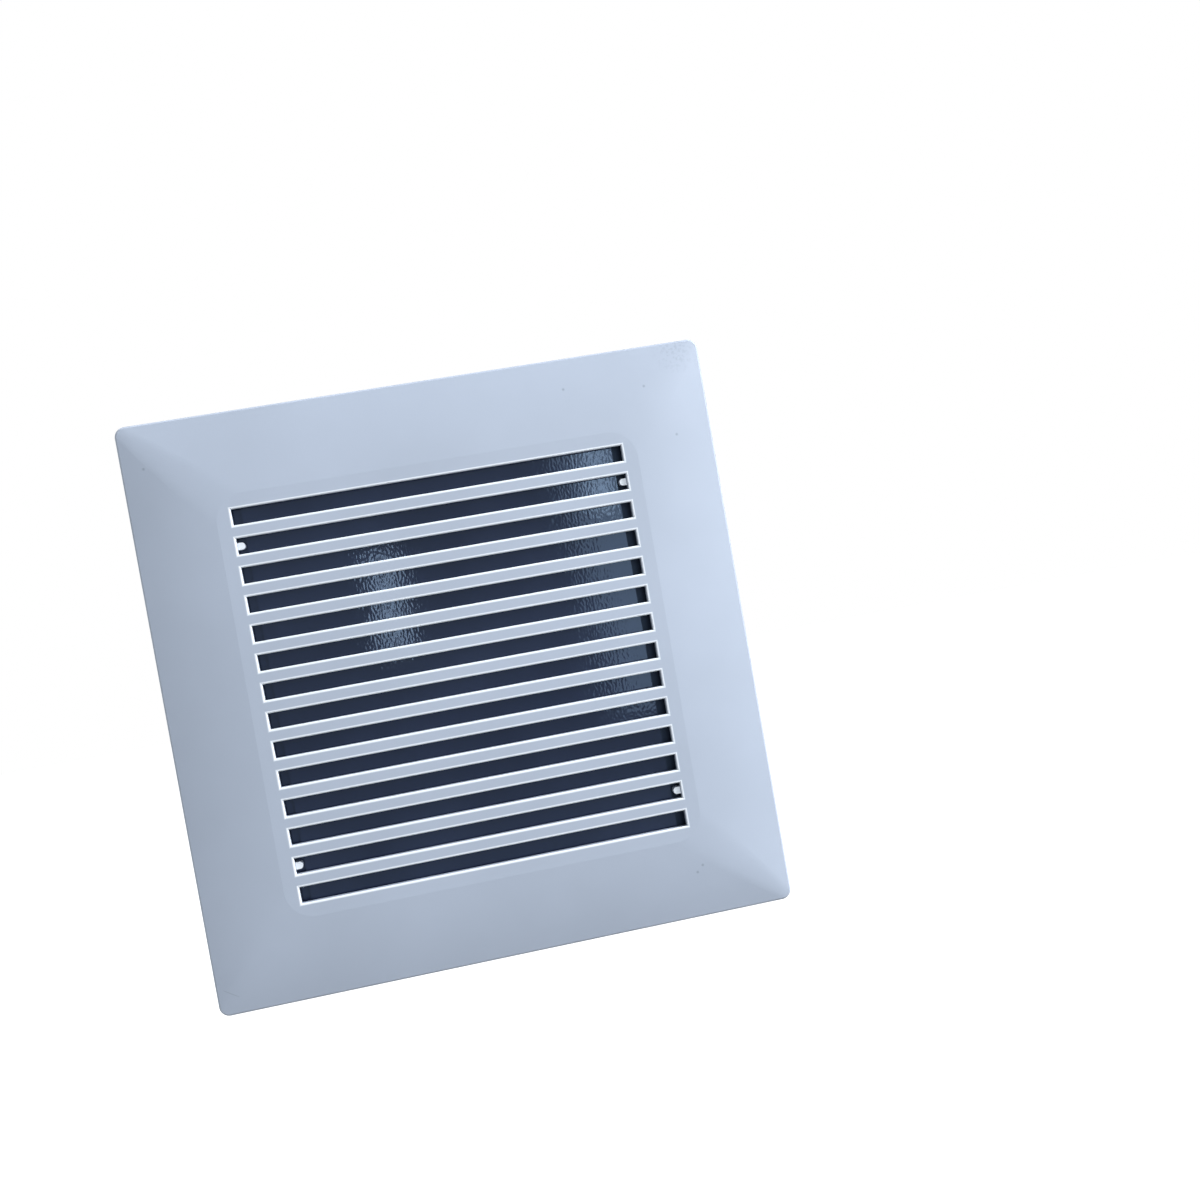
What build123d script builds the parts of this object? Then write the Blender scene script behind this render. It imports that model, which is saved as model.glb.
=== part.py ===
"""Square wall vent cap for a 100 mm duct: clip-on slotted face, louvre insert, base with spigot, spring clips.

Frame: origin on the spigot axis in the wall plane, X to the right and Z up as seen from the front, Y into the wall.
Sketches lie on Plane.XZ, whose offset is the distance in front of the wall.
"""

import os
from math import cos, radians, sin

from build123d import *

os.makedirs("parts", exist_ok=True)

# Face cover: a straight skirt, a border that curves forward in two steps, and a flat field
side = 186.0
corner_radius = 3.2
edge_break = 0.5
skirt_clear = 0.6
skirt_wall = 1.8
edge_wall = 1.2
border_width = 13.0
border_rise = 0.5
border_radius = 7.0
brow_width = 13.0
field_rise = 1.15
field_radius = 9.0
face_wall = 2.6
cover_clear = 0.2

# Slots in the face
slot_height = 5.1
slot_bar = 4.1
slot_inset = 4.8
row_margin = 4.4
slot_chamfer = 0.3

# Finger notches and catch ribs inside the skirt
notch_width = 25.0
notch_depth = 3.6
notch_land = 1.4
rib_clear = 0.4
rib_thickness = 1.1
rib_spacing = 3.8
rib_tip_front = 2.2
rib_shoulder_front = 6.5

# Tongues in the ends of the second slot from top and bottom, which press on the louvre insert
tongue_height = 2.2
tongue_length = 8.0
tongue_round = 1.0
tongue_gap = 0.4
tongue_clear = 0.1
tongue_sink = 0.9

# Base plate and its edge wall
base_gap = 1.4
base_corner = 4.0
plate_back = 6.3
plate_thickness = 1.8
edge_rib = 1.4
jog_lap = 1.3
jog_depth = 4.6
jog_corner = 3.0
side_recess_height = 11.5
side_recess_from_corner = 37.5
end_recess_width = 11.7
end_recess_from_corner = 41.4
cell_wall = 1.3
cell_depth = 7.15
cell_clear = 0.6

# Corner trays with slanted screw slots
tray_width = 26.2
tray_height = 21.9
tray_cut_width = 12.4
tray_cut_height = 9.4
tray_wall = 1.3
tray_floor_back = 3.0
tray_floor = 1.8
screw_slot_from_side = 10.4
screw_slot_from_end = 12.0
screw_slot_length = 19.0
screw_slot_width = 4.3
screw_slot_angle = 45.0

# Windows in the plate for the insert's hooks
window_width = 5.3
window_height = 3.0
window_spacing = 51.2
window_from_opening = 4.9

# Spigot, ledge and cross in the bore
spigot_rim = 43.6
rim_radius = 48.8
spigot_taper = 0.8
spigot_wall = 1.85
bore_taper = 0.4
rim_chamfer = 0.6
root_flare = 1.6
ledge_width = 4.35
upright_width = 3.6
crossbar_width = 7.0

# Louvre insert
insert_lap = 4.4
insert_rim = 0.3
insert_thickness = 1.3
opening_gap = 0.8
blade_end_gap = 2.8
blade_lap = 1.0
blade_width = 6.6
blade_thickness = 1.2
blade_sink = 0.3
step_width = 2.6
step_height = 0.3
hook_side_gap = 0.55
hook_thickness = 1.3
hook_inset = 0.55
hook_reach = 1.1
barb_gap = 0.25
barb_catch = 0.7

# Spring clips, with the points of the outer leg as (distance out from the rim radius, distance back from the rim)
clip_names = ("spring_clip_top", "spring_clip_left", "spring_clip_right")
first_clip_angle = 90.0
clip_width = 8.5
clip_thickness = 0.5
clip_gap = 0.22
clip_seat_gap = 0.05
bend_radius = 1.4
fold_radius = 0.5
inner_leg_length = 16.4
lip_height = 1.6
lip_lean = 0.9
fold_reach = 1.1
outer_leg = ((2.2, 3.0), (0.95, 9.0), (3.2, 15.0), (1.15, 20.2), (2.1, 21.4))
seat_depth = 0.9
seat_width = 9.4
lug_from_rim = 21.4
lug_width = 2.4
lug_height = 1.8
lug_reach = 2.2
lug_side_gap = 0.5
lug_slot_from_rim = 19.0

# Rivets
rivet_from_rim = 4.7
rivet_hole = 1.4
rivet_shank = 1.1
rivet_head = 1.9
rivet_head_height = 0.7
rivet_recess = 0.4

# Distances in front of the wall that follow, from the base forward
plate_front = plate_back + plate_thickness
tray_floor_front = tray_floor_back + tray_floor
insert_front = plate_front + insert_thickness
edge_back = insert_front + cover_clear
border_back = edge_back + border_rise
field_back = border_back + field_rise
skirt_front = edge_back + edge_wall
border_front = border_back + face_wall
field_front = field_back + face_wall
notch_front = skirt_front - notch_land
blade_middle = insert_front - blade_sink + blade_thickness / 2
hook_back = plate_back - hook_reach
barb_front = plate_back - barb_gap

# Sizes across the face that follow, from the cover inward
skirt_inside = side - 2 * skirt_wall
front_side = side - 2 * edge_break
border_side = side - 2 * border_width
field_side = border_side - 2 * brow_width
slot_pitch = slot_height + slot_bar
slot_length = field_side - 2 * slot_inset
slot_count = int((field_side - 2 * row_margin + slot_bar) / slot_pitch)
blade_length = slot_length - 2 * blade_end_gap
opening_width = blade_length - 2 * blade_lap
opening_height = (slot_count - 1) * slot_pitch + blade_width + 2 * opening_gap
window_z = opening_height / 2 + window_from_opening
window_end = window_z + window_height / 2
insert_width = slot_length + 2 * insert_lap
insert_height = 2 * (window_end + insert_rim)
hook_width = window_width - 2 * hook_side_gap
hook_z = window_z - hook_inset
barb_start = hook_z - hook_thickness / 2
barb_end = window_end + barb_catch
tongue_x = blade_length / 2 + tongue_gap + tongue_length / 2
tongue_z = slot_pitch * (slot_count - 3) / 2
base_side = skirt_inside - 2 * base_gap
base_edge = base_side / 2
jog_width = notch_width - 2 * jog_lap
rib_reach = jog_depth + base_gap - rib_clear
side_recess_z = base_edge - side_recess_from_corner
end_recess_x = base_edge - end_recess_from_corner
tray_x = base_edge - tray_width
tray_z = base_edge - tray_height
screw_slot_x = base_edge - screw_slot_from_side
screw_slot_z = base_edge - screw_slot_from_end
cell_start = side_recess_z + side_recess_height / 2
cell_end = tray_z + tray_wall / 2

# Sizes round the spigot that follow
root_radius = rim_radius + spigot_taper
rim_bore = rim_radius - spigot_wall
root_bore = rim_bore + bore_taper
ledge_radius = root_bore - ledge_width
clip_inner = rim_bore - clip_gap - clip_thickness / 2
fold_y = spigot_rim - seat_depth + clip_seat_gap + clip_thickness / 2
lip_y = spigot_rim - inner_leg_length
lug_slot_end = spigot_rim - lug_slot_from_rim
rivet_y = spigot_rim - rivet_from_rim
rivet_seat = clip_inner - clip_thickness / 2
rivet_tail = rim_radius - rivet_recess
clip_angles = [radians(first_clip_angle + 360 * i / len(clip_names)) for i in range(len(clip_names))]
radial = [Vector(cos(a), 0, sin(a)) for a in clip_angles]
around = [Vector(-sin(a), 0, cos(a)) for a in clip_angles]
clip_planes = [Plane(origin=(0, 0, 0), x_dir=r, z_dir=t) for r, t in zip(radial, around)]
hole_planes = [Plane(origin=(0, rivet_y, 0), x_dir=(0, 1, 0), z_dir=r) for r in radial]

# Catch ribs seen along Z, one on each side
with BuildSketch(Plane.XY) as rib_profile:
    with BuildLine():
        Polyline(
            (skirt_inside / 2 + edge_wall, -rib_tip_front),
            (skirt_inside / 2 + edge_wall, -skirt_front + edge_wall / 2),
            (skirt_inside / 2 - rib_reach, -skirt_front + edge_wall / 2),
            (skirt_inside / 2 - rib_reach, -rib_shoulder_front),
            (skirt_inside / 2, -rib_tip_front),
            close=True,
        )
    make_face()
    mirror(about=Plane.YZ)

# Face cover: convex front on a straight skirt, hollow from behind, slotted
with BuildPart() as face_cover:
    with BuildSketch(Plane.XZ.offset(skirt_clear)):
        RectangleRounded(side, side, corner_radius)
    extrude(amount=skirt_front - skirt_clear)
    chamfer(face_cover.faces().sort_by(Axis.Y)[0].edges(), length=edge_break)
    with BuildSketch(Plane.XZ.offset(skirt_front)):
        RectangleRounded(front_side, front_side, corner_radius - edge_break)
    with BuildSketch(Plane.XZ.offset(border_front)):
        RectangleRounded(border_side, border_side, border_radius)
    with BuildSketch(Plane.XZ.offset(field_front)):
        RectangleRounded(field_side, field_side, field_radius)
    loft()
    with BuildSketch(Plane.XZ.offset(skirt_clear)):
        RectangleRounded(skirt_inside, skirt_inside, corner_radius - skirt_wall)
    extrude(amount=edge_back - skirt_clear, mode=Mode.SUBTRACT)
    with BuildSketch(Plane.XZ.offset(edge_back)):
        Rectangle(skirt_inside, skirt_inside)
    with BuildSketch(Plane.XZ.offset(border_back)):
        Rectangle(border_side, border_side)
    with BuildSketch(Plane.XZ.offset(field_back)):
        Rectangle(field_side, field_side)
    loft(mode=Mode.SUBTRACT)
    # Slots right through the flat field, their front edges broken
    with BuildSketch(Plane.XZ.offset(field_back)):
        with GridLocations(slot_length, slot_pitch, 1, slot_count):
            Rectangle(slot_length, slot_height)
    extrude(amount=face_wall, mode=Mode.SUBTRACT)
    field = face_cover.faces().filter_by(Axis.Y).sort_by(Axis.Y)[0]
    chamfer(field.inner_wires().edges(), length=slot_chamfer)
    # Finger notches in the middle of the left and right skirt
    with BuildSketch(Plane.XZ.offset(skirt_clear)):
        with GridLocations(side, 1, 2, 1):
            Rectangle(2 * notch_depth, notch_width)
    extrude(amount=notch_front - skirt_clear, mode=Mode.SUBTRACT)
    # Pairs of catch ribs that sit in the side recesses of the base
    for rib_z in (side_recess_z - rib_spacing / 2, side_recess_z + rib_spacing / 2):
        with BuildSketch(Plane.XY.offset(rib_z), Plane.XY.offset(-rib_z)):
            add(rib_profile.sketch)
        extrude(amount=rib_thickness / 2, both=True)
    # Tongues that fill the ends of two slots and reach back to the insert
    with BuildSketch(Plane.XZ.offset(insert_front + tongue_clear)):
        with GridLocations(2 * tongue_x, 2 * tongue_z, 2, 2):
            RectangleRounded(tongue_length, tongue_height, tongue_round)
    extrude(amount=field_front - tongue_sink - insert_front - tongue_clear)
face_cover.part.label = "face_cover"
export_step(face_cover.part, "parts/face_cover.step")

# Outline of the base: a rounded square with a jog in the middle of each edge and a recess for each catch
with BuildSketch(Plane.XY) as base_outline:
    RectangleRounded(base_side, base_side, base_corner)
    with GridLocations(base_side, 1, 2, 1):
        RectangleRounded(2 * jog_depth, jog_width, jog_corner, mode=Mode.SUBTRACT)
    with GridLocations(1, base_side, 1, 2):
        RectangleRounded(jog_width, 2 * jog_depth, jog_corner, mode=Mode.SUBTRACT)
    with GridLocations(base_side, 2 * side_recess_z, 2, 2):
        Rectangle(2 * jog_depth, side_recess_height, mode=Mode.SUBTRACT)
    with GridLocations(2 * end_recess_x, base_side, 2, 2):
        Rectangle(end_recess_width, 2 * jog_depth, mode=Mode.SUBTRACT)

# Corner trays: the outside shape, and the hollow within the tray wall
with BuildSketch(Plane.XY) as tray_outline:
    with BuildLine():
        Polyline(
            (tray_x, base_side),
            (tray_x, base_edge - tray_cut_height),
            (base_edge - tray_cut_width, tray_z),
            (base_side, tray_z),
            (base_side, base_side),
            close=True,
        )
    make_face()
    mirror(about=Plane.YZ)
    mirror(about=Plane.XZ)
    add(base_outline.sketch, mode=Mode.INTERSECT)
with BuildSketch(Plane.XY) as tray_hollow:
    offset(tray_outline.sketch, amount=-tray_wall, kind=Kind.INTERSECTION)

# Spigot wall seen edge on, slightly tapered, flared at its root
with BuildSketch(Plane.XY) as spigot_profile:
    with BuildLine():
        Polyline(
            (root_radius, root_flare - plate_back),
            (rim_radius, spigot_rim - rim_chamfer),
            (rim_radius - rim_chamfer, spigot_rim),
            (rim_bore + rim_chamfer, spigot_rim),
            (rim_bore, spigot_rim - rim_chamfer),
            (root_bore, -plate_front),
            (root_radius + root_flare, -plate_front),
            (root_radius + root_flare, -plate_back),
            close=True,
        )
    make_face()

# Base: plate with edge wall, corner trays and spigot in one moulding
with BuildPart() as base:
    with BuildSketch(Plane.XZ):
        add(base_outline.sketch)
        offset(base_outline.sketch, amount=-edge_rib, kind=Kind.INTERSECTION, mode=Mode.SUBTRACT)
    extrude(amount=plate_back)
    with BuildSketch(Plane.XZ.offset(plate_back)):
        add(base_outline.sketch)
        Circle(ledge_radius, mode=Mode.SUBTRACT)
        Rectangle(upright_width, 2 * root_bore)
        Rectangle(2 * root_bore, crossbar_width)
    extrude(amount=plate_thickness)
    # Wall that closes each cell between a side recess and a tray
    with BuildSketch(Plane.XZ.offset(cell_clear)):
        with GridLocations(2 * (base_edge - cell_depth), cell_start + cell_end, 2, 2):
            Rectangle(cell_wall, cell_end - cell_start)
    extrude(amount=plate_back - cell_clear)
    # Trays: solid corners first, then hollowed from both sides down to a floor
    with BuildSketch(Plane.XZ):
        add(tray_outline.sketch)
    extrude(amount=plate_front)
    with BuildSketch(Plane.XZ):
        add(tray_hollow.sketch)
    extrude(amount=tray_floor_back, mode=Mode.SUBTRACT)
    with BuildSketch(Plane.XZ.offset(tray_floor_front)):
        add(tray_hollow.sketch)
    extrude(amount=plate_front - tray_floor_front, mode=Mode.SUBTRACT)
    with BuildSketch(Plane.XZ):
        with Locations((-screw_slot_x, screw_slot_z), (screw_slot_x, -screw_slot_z)):
            SlotOverall(screw_slot_length, screw_slot_width, rotation=screw_slot_angle)
        with Locations((screw_slot_x, screw_slot_z), (-screw_slot_x, -screw_slot_z)):
            SlotOverall(screw_slot_length, screw_slot_width, rotation=-screw_slot_angle)
    extrude(amount=plate_front, mode=Mode.SUBTRACT)
    # Windows for the insert's hooks
    with BuildSketch(Plane.XZ):
        with GridLocations(window_spacing, 2 * window_z, 3, 2):
            Rectangle(window_width, window_height)
    extrude(amount=plate_front, mode=Mode.SUBTRACT)
    add(spigot_profile.sketch)
    revolve(axis=Axis.Y)
    # Seats in the rim, lugs and rivet holes for the spring clips
    with BuildSketch(*clip_planes):
        with Locations((rim_radius, spigot_rim)):
            Rectangle(4 * spigot_wall, 2 * seat_depth)
    extrude(amount=seat_width / 2, both=True, mode=Mode.SUBTRACT)
    with BuildSketch(*clip_planes):
        with Locations((rim_radius + lug_reach / 2, spigot_rim - lug_from_rim)):
            Rectangle(lug_reach, lug_height)
    extrude(amount=lug_width / 2, both=True)
    with BuildSketch(*hole_planes):
        Circle(rivet_hole)
    extrude(amount=root_radius, mode=Mode.SUBTRACT)
base.part.label = "base"
export_step(base.part, "parts/base.step")

# Section of one flat baffle blade, with a step along the lower part of its back
with BuildSketch(Plane.XY) as blade_section:
    Rectangle(blade_thickness, blade_width)
    with Locations(((blade_thickness + step_height) / 2, (step_width - blade_width) / 2)):
        Rectangle(step_height, step_width)

# Louvre insert: frame, one baffle blade behind each slot, hooks at top and bottom
with BuildPart() as louvre_insert:
    with BuildSketch(Plane.XZ.offset(plate_front)):
        Rectangle(insert_width, insert_height)
        Rectangle(opening_width, opening_height, mode=Mode.SUBTRACT)
    extrude(amount=insert_thickness)
    with BuildSketch(Plane.YZ):
        with Locations((-blade_middle, 0)):
            with GridLocations(1, slot_pitch, 1, slot_count):
                add(blade_section.sketch)
    extrude(amount=blade_length / 2, both=True)
    with BuildSketch(Plane.XZ.offset(hook_back)):
        with GridLocations(window_spacing, 2 * hook_z, 3, 2):
            Rectangle(hook_width, hook_thickness)
    extrude(amount=plate_front - hook_back)
    # Barbs that catch behind the outer edge of each window
    with BuildSketch(Plane.XZ.offset(hook_back)):
        with GridLocations(window_spacing, barb_start + barb_end, 3, 2):
            Rectangle(hook_width, barb_end - barb_start)
    extrude(amount=barb_front - hook_back)
louvre_insert.part.label = "louvre_insert"
export_step(louvre_insert.part, "parts/louvre_insert.step")

# Spring clip seen edge on: inner leg with a lip, fold over the rim, waved outer leg
with BuildSketch(Plane.XY) as clip_profile:
    with BuildLine():
        FilletPolyline(
            (clip_inner - lip_lean, lip_y),
            (clip_inner, lip_y + lip_height),
            (clip_inner, fold_y),
            (rim_radius + fold_reach, fold_y),
            *[(rim_radius + out, spigot_rim - back) for out, back in outer_leg],
            radius=[bend_radius, fold_radius] + [bend_radius] * len(outer_leg),
        )
    trace(line_width=clip_thickness)

# Slot in the end of the outer leg, which straddles the lug on the spigot
with BuildSketch(Plane.XY) as lug_slot:
    with Locations((rim_radius, lug_slot_end / 2)):
        Rectangle(4 * lug_reach, lug_slot_end)

# Spring clips, one at each seat in the spigot's rim
for clip_name, clip_plane, hole_plane in zip(clip_names, clip_planes, hole_planes):
    with BuildPart() as spring_clip:
        with BuildSketch(clip_plane):
            add(clip_profile.sketch)
        extrude(amount=clip_width / 2, both=True)
        with BuildSketch(clip_plane):
            add(lug_slot.sketch)
        extrude(amount=lug_width / 2 + lug_side_gap, both=True, mode=Mode.SUBTRACT)
        with BuildSketch(hole_plane):
            Circle(rivet_hole)
        extrude(amount=rim_bore, mode=Mode.SUBTRACT)
    spring_clip.part.label = clip_name
    export_step(spring_clip.part, "parts/" + clip_name + ".step")

# Rivet seen edge on: flat head inside the bore, shank through the clip's inner leg and the spigot wall
with BuildSketch(Plane.XY) as rivet_profile:
    with BuildLine():
        Polyline(
            (0, rivet_seat - rivet_head_height),
            (0, rivet_tail),
            (rivet_shank, rivet_tail),
            (rivet_shank, rivet_seat),
            (rivet_head, rivet_seat),
            (rivet_head, rivet_seat - rivet_head_height),
            close=True,
        )
    make_face()

with BuildPart() as clip_rivets:
    for r, t in zip(radial, around):
        with BuildSketch(Plane(origin=(0, rivet_y, 0), x_dir=t, z_dir=(0, 1, 0))):
            add(rivet_profile.sketch)
        revolve(axis=Axis((0, rivet_y, 0), r))
clip_rivets.part.label = "clip_rivets"
export_step(clip_rivets.part, "parts/clip_rivets.step")
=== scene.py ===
from math import cos, radians, sin

import bmesh
import bpy
from mathutils import Matrix, Vector


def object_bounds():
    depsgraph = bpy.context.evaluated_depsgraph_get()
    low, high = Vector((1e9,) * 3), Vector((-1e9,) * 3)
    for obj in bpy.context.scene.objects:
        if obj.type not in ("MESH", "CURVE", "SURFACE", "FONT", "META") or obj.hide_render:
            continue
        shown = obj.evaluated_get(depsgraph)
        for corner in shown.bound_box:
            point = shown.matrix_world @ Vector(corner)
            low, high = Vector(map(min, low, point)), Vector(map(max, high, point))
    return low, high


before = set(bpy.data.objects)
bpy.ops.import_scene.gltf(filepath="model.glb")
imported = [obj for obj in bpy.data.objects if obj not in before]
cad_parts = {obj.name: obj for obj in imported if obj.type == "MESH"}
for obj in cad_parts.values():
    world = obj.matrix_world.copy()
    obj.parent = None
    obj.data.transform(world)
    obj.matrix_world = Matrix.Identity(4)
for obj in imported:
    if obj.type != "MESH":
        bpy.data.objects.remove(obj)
cad_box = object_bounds()

# Face cover: the front of the cap, one injection moulding in pale grey-blue plastic with a satin skin.
# It clips over the base by ribs inside its skirt.
# Fine moulding grain, a few dark specks and light scuffs show on it.


def new_material(name):
    material = bpy.data.materials.new(name)
    material.use_nodes = True
    return material, material.node_tree, material.node_tree.nodes["Principled BSDF"]


def add_node(tree, kind, **settings):
    node = tree.nodes.new(kind)
    for key, value in settings.items():
        if key in node.inputs:
            node.inputs[key].default_value = value
        else:
            setattr(node, key, value)
    return node


def object_position(tree):
    return add_node(tree, "ShaderNodeTexCoord").outputs["Object"]


def noise(tree, position, scale, detail=2.0, roughness=0.5):
    node = add_node(tree, "ShaderNodeTexNoise", Scale=scale, Detail=detail, Roughness=roughness)
    tree.links.new(position, node.inputs["Vector"])
    return node.outputs["Fac"]


def remap(tree, value, low, high, new_low, new_high):
    node = tree.nodes.new("ShaderNodeMapRange")
    tree.links.new(value, node.inputs["Value"])
    for socket, number in zip(("From Min", "From Max", "To Min", "To Max"), (low, high, new_low, new_high)):
        node.inputs[socket].default_value = number
    return node.outputs["Result"]


def blend(tree, factor, first, second):
    node = tree.nodes.new("ShaderNodeMix")
    node.data_type = "RGBA"
    tree.links.new(factor, node.inputs["Factor"])
    for socket, colour in ((node.inputs[6], first), (node.inputs[7], second)):
        if isinstance(colour, bpy.types.NodeSocket):
            tree.links.new(colour, socket)
        else:
            socket.default_value = (*colour, 1.0)
    return node.outputs[2]


def maths(tree, operation, *values):
    node = add_node(tree, "ShaderNodeMath", operation=operation)
    for socket, value in zip(node.inputs, values):
        if isinstance(value, bpy.types.NodeSocket):
            tree.links.new(value, socket)
        else:
            socket.default_value = value
    return node.outputs["Value"]


def bump(tree, normal_input, height, strength, distance):
    node = add_node(tree, "ShaderNodeBump", Strength=strength, Distance=distance)
    tree.links.new(height, node.inputs["Height"])
    tree.links.new(node.outputs["Normal"], normal_input)
    return node


def nearest_place(tree, point, places):
    nearest = None
    for x, z in places:
        reach = add_node(tree, "ShaderNodeVectorMath", operation="DISTANCE")
        tree.links.new(point, reach.inputs[0])
        reach.inputs[1].default_value = (x, 0.0, z)
        distance = reach.outputs["Value"]
        nearest = maths(tree, "MINIMUM", distance, nearest) if nearest else distance
    return nearest


def paint(node_name, material):
    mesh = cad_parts[node_name].data
    mesh.materials.clear()
    mesh.materials.append(material)


face_light = (0.418, 0.463, 0.549)
face_dark = (0.395, 0.438, 0.519)
# Pale colour painted on the slot edges and tongue tips as a highlight
slot_edge_highlight_colour = (0.80, 0.83, 0.87)
speck_colour = (0.15, 0.18, 0.23)
slot_pitch = 0.0092
slot_height = 0.0051
slot_length = 0.1244
slot_rows = 14
field_front = -0.01385
field_half = slot_pitch * slot_rows / 2
edge_width = 0.0005
edge_fade = 0.0003
edge_back = field_front + 0.0003
tongue_back = field_front + 0.0010
back_fade = 0.0002
tongue_side_inset = 0.0012
tongue_end_inset = 0.0002
speck_places = [(-0.086, 0.079), (0.047, 0.083), (0.073, 0.080), (0.081, 0.063)]
speck_places += [(0.065, -0.076), (0.063, -0.078)]
speck_radius = 0.0006
scuff_place = (0.085, 0.0895)
scuff_radius = 0.008
scratch_ends = [(-0.0908, -0.0846), (-0.0860, -0.0876)]
face_plastic, tree, shader = new_material("face_plastic_satin")
position = object_position(tree)
cloud = remap(tree, noise(tree, position, 22.0, 3.0), 0.35, 0.65, 0.0, 1.0)
tone = blend(tree, cloud, face_dark, face_light)
axes = add_node(tree, "ShaderNodeSeparateXYZ")
tree.links.new(position, axes.inputs["Vector"])
# Dark specks of dirt, a scuffed patch by the upper right corner and a hair scratch by the lower left one
flat = add_node(tree, "ShaderNodeCombineXYZ")
tree.links.new(axes.outputs["X"], flat.inputs["X"])
tree.links.new(axes.outputs["Z"], flat.inputs["Z"])
on_face = flat.outputs["Vector"]
speck = remap(tree, nearest_place(tree, on_face, speck_places), 0.0002, speck_radius, 0.45, 0.0)
in_scuff = remap(tree, nearest_place(tree, on_face, [scuff_place]), 0.002, scuff_radius, 0.20, 0.0)
rubbed = remap(tree, noise(tree, position, 1100.0, 2.0), 0.50, 0.64, 0.0, 1.0)
scuff = maths(tree, "MULTIPLY", in_scuff, rubbed)
from_ends = [nearest_place(tree, on_face, [end]) for end in scratch_ends]
scratch_length = (Vector(scratch_ends[0]) - Vector(scratch_ends[1])).length
past_scratch = maths(tree, "SUBTRACT", maths(tree, "ADD", *from_ends), scratch_length)
scratch = remap(tree, past_scratch, 0.000002, 0.000012, 0.30, 0.0)
marks = maths(tree, "MAXIMUM", maths(tree, "MAXIMUM", speck, scuff), scratch)
heading = add_node(tree, "ShaderNodeSeparateXYZ")
tree.links.new(add_node(tree, "ShaderNodeTexCoord").outputs["Normal"], heading.inputs["Vector"])
outside = remap(tree, heading.outputs["Y"], -0.5, -0.3, 1.0, 0.0)
tone = blend(tree, maths(tree, "MULTIPLY", marks, outside), tone, speck_colour)
# Painted highlight: a paler line along the front edge of each slot, standing in for the light the slot edges
# catch
row_place = maths(tree, "FRACT", maths(tree, "DIVIDE", axes.outputs["Z"], slot_pitch))
off_middle = maths(tree, "ABSOLUTE", maths(tree, "SUBTRACT", row_place, 0.5))
from_row = maths(tree, "MULTIPLY", off_middle, slot_pitch)
past_side = maths(tree, "SUBTRACT", from_row, slot_height / 2)
past_end = maths(tree, "SUBTRACT", maths(tree, "ABSOLUTE", axes.outputs["X"]), slot_length / 2)
past_edge = maths(tree, "MAXIMUM", past_side, past_end)
at_edge = remap(tree, past_edge, edge_width, edge_width + edge_fade, 1.0, 0.0)
at_front = remap(tree, axes.outputs["Y"], edge_back, edge_back + back_fade, 1.0, 0.0)
# Painted highlight on the moulded tips of the tongues in the slot ends, in the same pale colour
past_tongue_side = maths(tree, "ADD", past_side, tongue_side_inset)
past_tongue_end = maths(tree, "ADD", past_end, tongue_end_inset)
past_tongue = maths(tree, "MAXIMUM", past_tongue_side, past_tongue_end)
on_tongue = remap(tree, past_tongue, -0.0001, 0.0001, 1.0, 0.0)
near_front = remap(tree, axes.outputs["Y"], tongue_back, tongue_back + back_fade, 1.0, 0.0)
slot_edge_highlights = maths(tree, "MULTIPLY", at_edge, at_front)
tongues = maths(tree, "MULTIPLY", on_tongue, near_front)
off_axis = maths(tree, "ABSOLUTE", axes.outputs["Z"])
in_rows = remap(tree, off_axis, field_half, field_half + 0.0006, 1.0, 0.0)
pale = maths(tree, "MULTIPLY", maths(tree, "MAXIMUM", slot_edge_highlights, tongues), in_rows)
tone = blend(tree, pale, tone, slot_edge_highlight_colour)
tree.links.new(tone, shader.inputs["Base Color"])
grain = noise(tree, position, 1800.0, 2.0)
satin = remap(tree, noise(tree, position, 60.0, 4.0), 0.3, 0.7, 0.40, 0.50)
tree.links.new(satin, shader.inputs["Roughness"])
shader.inputs["Specular IOR Level"].default_value = 0.45
bump(tree, shader.inputs["Normal"], grain, 0.12, 0.00008)
paint("face_cover", face_plastic)

# Louvre insert: one thin moulding in dark grey plastic, a frame with a flat blade behind each slot.
# It is hooked into six windows of the base plate.
# Front polished, back matt. The front's dark bluish colour is painted shade; the back shows the plastic's own
# grey.

# Painted shade: these front colours are much darker and bluer than the same plastic's colour on the back
insert_front_shade_dark = (0.0165, 0.0215, 0.0475)
insert_front_shade_light = (0.0230, 0.0300, 0.0635)
insert_back = (0.118, 0.134, 0.158)
insert_end_shade = (0.002, 0.004, 0.016)
polish_tint = (0.52, 0.73, 1.0)
blade_middle = -0.0097
end_shift = -0.0013
end_reach = 0.0605
insert_plastic, tree, shader = new_material("insert_plastic_grained")
position = object_position(tree)
cloud = remap(tree, noise(tree, position, 30.0, 3.0), 0.35, 0.65, 0.0, 1.0)
tone = blend(tree, cloud, insert_front_shade_dark, insert_front_shade_light)
axes = add_node(tree, "ShaderNodeSeparateXYZ")
tree.links.new(position, axes.inputs["Vector"])
behind = remap(tree, axes.outputs["Y"], blade_middle + 0.0003, blade_middle + 0.0005, 0.0, 1.0)
# Painted shade at the blades' ends next to the frame, which are also unpolished
along_blade = maths(tree, "ABSOLUTE", maths(tree, "SUBTRACT", axes.outputs["X"], end_shift))
past_blade = maths(tree, "SUBTRACT", along_blade, end_reach)
end_shade = remap(tree, past_blade, 0.0, 0.0002, 0.0, 1.0)
tone = blend(tree, end_shade, tone, insert_end_shade)
tree.links.new(blend(tree, behind, tone, insert_back), shader.inputs["Base Color"])
polish = remap(tree, noise(tree, position, 90.0, 4.0), 0.3, 0.7, 0.04, 0.06)
matt = maths(tree, "MULTIPLY", maths(tree, "MAXIMUM", end_shade, behind), 0.5)
tree.links.new(maths(tree, "MAXIMUM", polish, matt), shader.inputs["Roughness"])
shader.inputs["Specular IOR Level"].default_value = 0.34
shader.inputs["Specular Tint"].default_value = (*polish_tint, 1.0)
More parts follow.
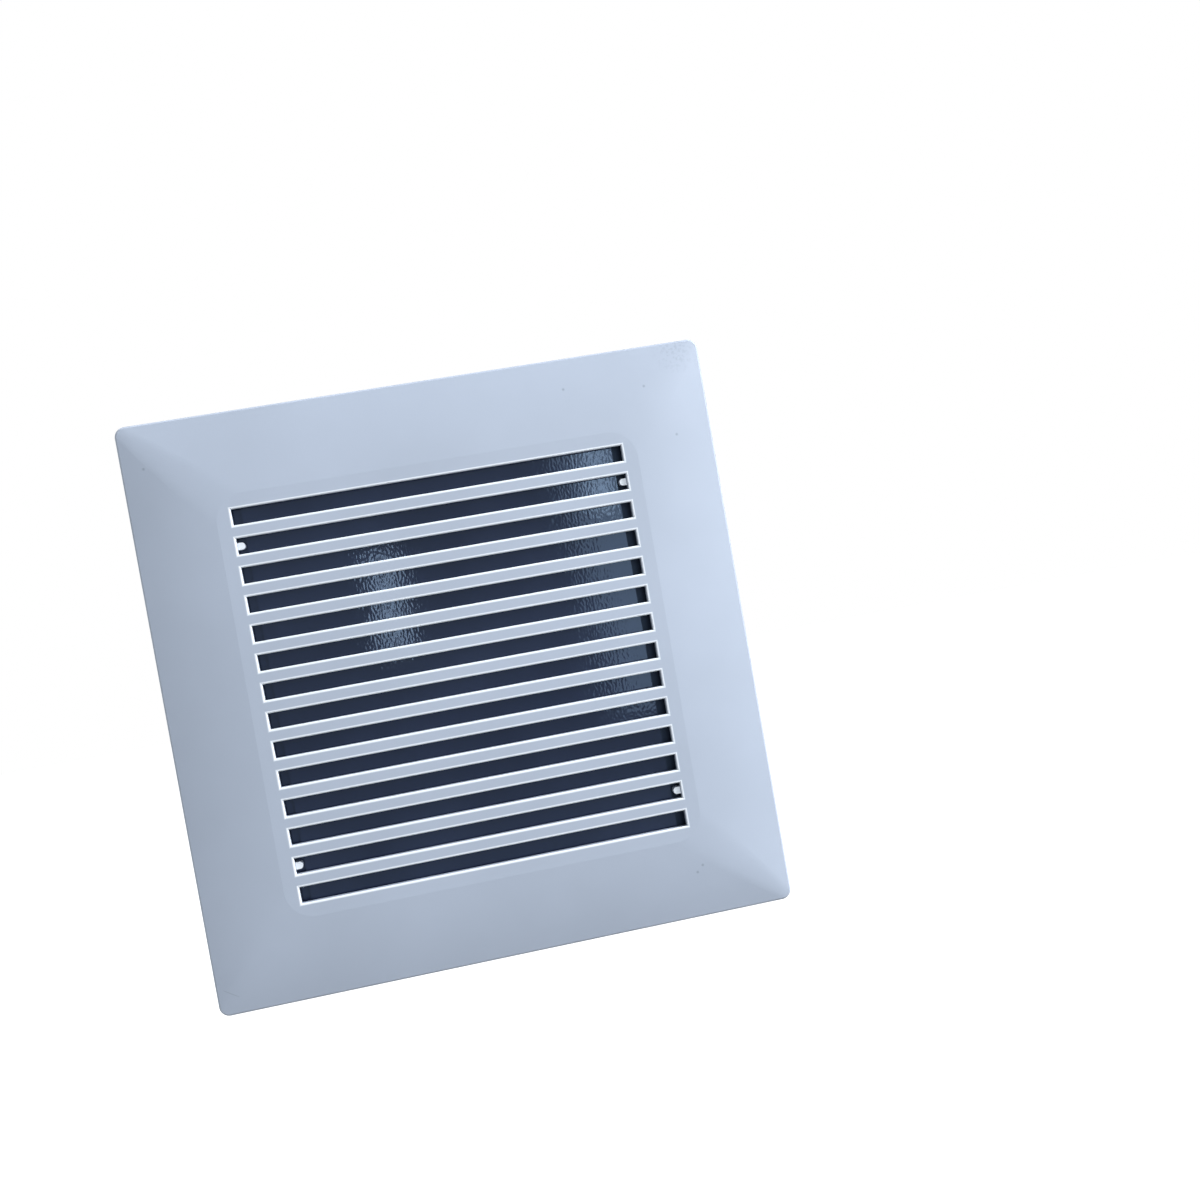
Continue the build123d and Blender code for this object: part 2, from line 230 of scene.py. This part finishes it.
# Fine ripples in the polish, drawn out up and down
upright = add_node(tree, "ShaderNodeMapping", Scale=(1.0, 1.0, 0.55))
tree.links.new(position, upright.inputs["Vector"])
ripple = noise(tree, upright.outputs["Vector"], 1450.0, 0.0)
bump(tree, shader.inputs["Normal"], ripple, 0.17, 0.00008)
paint("louvre_insert", insert_plastic)

# Base: the plate with edge wall, corner trays and spigot, one moulding in mid grey plastic.
# Its back rests on the wall, and its spigot plugs into the duct.
# The skin is satin, a little grainy on flat faces.

base_dark = (0.115, 0.138, 0.170)
base_light = (0.140, 0.166, 0.203)
mark_colour = (0.190, 0.220, 0.262)
base_plastic, tree, shader = new_material("base_plastic_satin")
position = object_position(tree)
cloud = remap(tree, noise(tree, position, 26.0, 4.0), 0.35, 0.65, 0.0, 1.0)
tone = blend(tree, cloud, base_dark, base_light)
satin = remap(tree, noise(tree, position, 80.0, 4.0), 0.3, 0.7, 0.34, 0.48)
tree.links.new(satin, shader.inputs["Roughness"])
# Round marks of the mould's ejector pins, which stand slightly proud of the back of the plate
mark_radius = 0.0037
mark_height = 0.00025
mark_tint = 0.35
plate_back = -0.0063
mark_ring = 0.0582
mark_centres = [(mark_ring * cos(radians(a)), mark_ring * sin(radians(a))) for a in (25.0, 65.0)]
mark_centres += [(0.0788, 0.0), (0.0788, 0.051), (0.0, 0.077), (0.053, 0.077)]
axes = add_node(tree, "ShaderNodeSeparateXYZ")
tree.links.new(position, axes.inputs["Vector"])
quarter = add_node(tree, "ShaderNodeCombineXYZ")
tree.links.new(maths(tree, "ABSOLUTE", axes.outputs["X"]), quarter.inputs["X"])
tree.links.new(maths(tree, "ABSOLUTE", axes.outputs["Z"]), quarter.inputs["Z"])
nearest = nearest_place(tree, quarter.outputs["Vector"], mark_centres)
off_plate = maths(tree, "ABSOLUTE", maths(tree, "SUBTRACT", axes.outputs["Y"], plate_back))
on_plate = remap(tree, off_plate, 0.0002, 0.0003, 1.0, 0.0)
in_mark = remap(tree, nearest, mark_radius, mark_radius + 0.0004, 1.0, 0.0)
mark_mask = maths(tree, "MULTIPLY", in_mark, on_plate)
tone = blend(tree, maths(tree, "MULTIPLY", mark_mask, mark_tint), tone, mark_colour)
tree.links.new(tone, shader.inputs["Base Color"])
grain = bump(tree, shader.inputs["Normal"], noise(tree, position, 1500.0, 2.0), 0.14, 0.00008)
bump(tree, grain.inputs["Normal"], mark_mask, 0.8, mark_height)
paint("base", base_plastic)

# Spring clips: three strips of bright spring steel, bent to shape and folded over the spigot's rim.
# Each is riveted to the spigot wall by its inner leg. Rolling leaves fine lines along the strip.

steel_dark = (0.57, 0.58, 0.60)
steel_light = (0.63, 0.64, 0.66)
spring_steel, tree, shader = new_material("spring_steel_rolled")
position = object_position(tree)
lines = add_node(tree, "ShaderNodeMapping", Scale=(1.0, 0.03, 1.0))
tree.links.new(position, lines.inputs["Vector"])
rolled = noise(tree, lines.outputs["Vector"], 900.0, 2.0)
tone = blend(tree, remap(tree, rolled, 0.3, 0.7, 0.0, 1.0), steel_dark, steel_light)
tree.links.new(tone, shader.inputs["Base Color"])
tree.links.new(remap(tree, rolled, 0.3, 0.7, 0.20, 0.27), shader.inputs["Roughness"])
shader.inputs["Metallic"].default_value = 1.0
bump(tree, shader.inputs["Normal"], rolled, 0.02, 0.00002)
for clip in ("spring_clip_top", "spring_clip_left", "spring_clip_right"):
    paint(clip, spring_steel)

# Rivets: three small flat-headed steel rivets, headed inside the bore, that hold the clips.
# They are plain plated steel, a little duller than the clips.

rivet_dark = (0.34, 0.35, 0.37)
rivet_light = (0.48, 0.49, 0.51)
rivet_steel, tree, shader = new_material("rivet_steel_plated")
position = object_position(tree)
dull = noise(tree, position, 700.0, 3.0)
tone = blend(tree, remap(tree, dull, 0.3, 0.7, 0.0, 1.0), rivet_dark, rivet_light)
tree.links.new(tone, shader.inputs["Base Color"])
tree.links.new(remap(tree, dull, 0.3, 0.7, 0.28, 0.42), shader.inputs["Roughness"])
shader.inputs["Metallic"].default_value = 1.0
bump(tree, shader.inputs["Normal"], dull, 0.1, 0.00004)
paint("clip_rivets", rivet_steel)

# Stage: a plain pale floor below the cap, white to the eye and pale in reflections.
# The world is white to the eye too. To the light it is a cool room, bright overhead and dim below.

floor_size = 6.0
floor_drop = 0.12
floor_colour = (0.12, 0.12, 0.12)
white_to_eye = 0.96
white_in_gloss = 0.72
room_colour = (0.86, 0.93, 1.0)
room_low = 0.07
room_high = 0.46
floor_mesh = bpy.data.meshes.new("floor")
floor = bpy.data.objects.new("floor", floor_mesh)
bpy.context.scene.collection.objects.link(floor)
floor_bm = bmesh.new()
bmesh.ops.create_grid(floor_bm, x_segments=1, y_segments=1, size=floor_size / 2)
bmesh.ops.translate(floor_bm, vec=(0, 0, cad_box[0][2] - floor_drop), verts=floor_bm.verts)
floor_bm.to_mesh(floor_mesh)
floor_bm.free()
floor_paint, tree, shader = new_material("floor_pale")
shader.inputs["Base Color"].default_value = (*floor_colour, 1.0)
shader.inputs["Roughness"].default_value = 0.9
glow = add_node(tree, "ShaderNodeEmission", Color=(1.0, 1.0, 1.0, 1.0))
path = add_node(tree, "ShaderNodeLightPath")
to_eye = maths(tree, "MULTIPLY", path.outputs["Is Camera Ray"], white_to_eye)
to_gloss = maths(tree, "MULTIPLY", path.outputs["Is Glossy Ray"], white_in_gloss)
tree.links.new(maths(tree, "MAXIMUM", to_eye, to_gloss), glow.inputs["Strength"])
both = add_node(tree, "ShaderNodeAddShader")
tree.links.new(shader.outputs["BSDF"], both.inputs[0])
tree.links.new(glow.outputs["Emission"], both.inputs[1])
tree.links.new(both.outputs["Shader"], tree.nodes["Material Output"].inputs["Surface"])
floor_mesh.materials.append(floor_paint)

world = bpy.data.worlds.new("studio")
world.use_nodes = True
bpy.context.scene.world = world
tree = world.node_tree
room = tree.nodes["Background"]
room.inputs["Color"].default_value = (*room_colour, 1.0)
heading = add_node(tree, "ShaderNodeSeparateXYZ")
tree.links.new(add_node(tree, "ShaderNodeTexCoord").outputs["Generated"], heading.inputs["Vector"])
strength = remap(tree, heading.outputs["Z"], -1.0, 1.0, room_low, room_high)
tree.links.new(strength, room.inputs["Strength"])
white = add_node(tree, "ShaderNodeBackground", Color=(1.0, 1.0, 1.0, 1.0), Strength=1.0)
pick = add_node(tree, "ShaderNodeMixShader")
path = add_node(tree, "ShaderNodeLightPath")
seen = maths(tree, "MAXIMUM", path.outputs["Is Camera Ray"], path.outputs["Is Glossy Ray"])
tree.links.new(seen, pick.inputs["Fac"])
tree.links.new(room.outputs["Background"], pick.inputs[1])
tree.links.new(white.outputs["Background"], pick.inputs[2])
tree.links.new(pick.outputs["Shader"], tree.nodes["World Output"].inputs["Surface"])

# Lights: a softbox high on the right that rakes across the face, a weak one on the left and one for the back.
# A broad dim panel to the right of the camera and two small strips beside it are reflected in the blades.


def softbox(name, place, aim, width, height, watts, colour):
    lamp = bpy.data.lights.new(name, "AREA")
    lamp.shape = "RECTANGLE"
    lamp.size = width
    lamp.size_y = height
    lamp.energy = watts
    lamp.color = colour
    box = bpy.data.objects.new(name, lamp)
    bpy.context.scene.collection.objects.link(box)
    box.location = place
    box.rotation_euler = (Vector(aim) - Vector(place)).to_track_quat("-Z", "Y").to_euler()


softbox("key_softbox", (1.55, -0.536, 0.98), (0.0, 0.0, 0.0), 0.60, 0.60, 61.0, (0.94, 0.972, 1.0))
softbox("rear_softbox", (-0.5, 0.8, 0.9), (0.0, 0.0, 0.0), 0.6, 0.6, 19.0, (0.95, 0.98, 1.0))
softbox("left_softbox", (-1.14, -0.30, 0.12), (0.0, 0.0, 0.0), 0.5, 0.5, 2.2, (0.90, 0.96, 1.0))
softbox("right_panel", (0.49, -0.95, 0.20), (0.0, 0.0, 0.0), 0.70, 0.70, 4.9, (0.86, 0.93, 1.0))
softbox("middle_strip", (-0.022, -0.49, 0.024), (-0.019, 0.0, 0.026), 0.014, 0.066, 0.026, (0.95, 0.96, 1.0))
softbox("right_strip", (0.125, -0.48, 0.080), (0.056, 0.0, 0.053), 0.014, 0.044, 0.014, (0.95, 0.97, 1.0))

# Camera: the photograph's view, a little to the left of and above the middle of the face.
# It is turned a little to the right and rolled by ten degrees.

camera_place = (-0.01696, -0.47673, 0.02602)
camera_right = Vector((0.9752, -0.1385, -0.1728))
camera_back = Vector((-0.1363, -0.9904, 0.0246))
lens_data = bpy.data.cameras.new("camera")
lens_data.sensor_width = 36.0
lens_data.lens = 43.725
lens_data.clip_start = 0.01
camera = bpy.data.objects.new("camera", lens_data)
bpy.context.scene.collection.objects.link(camera)
back = camera_back.normalized()
up = back.cross(camera_right).normalized()
right = up.cross(back)
camera.matrix_world = Matrix.Translation(camera_place) @ Matrix((right, up, back)).transposed().to_4x4()
bpy.context.scene.camera = camera
bpy.context.scene.view_settings.view_transform = "Standard"
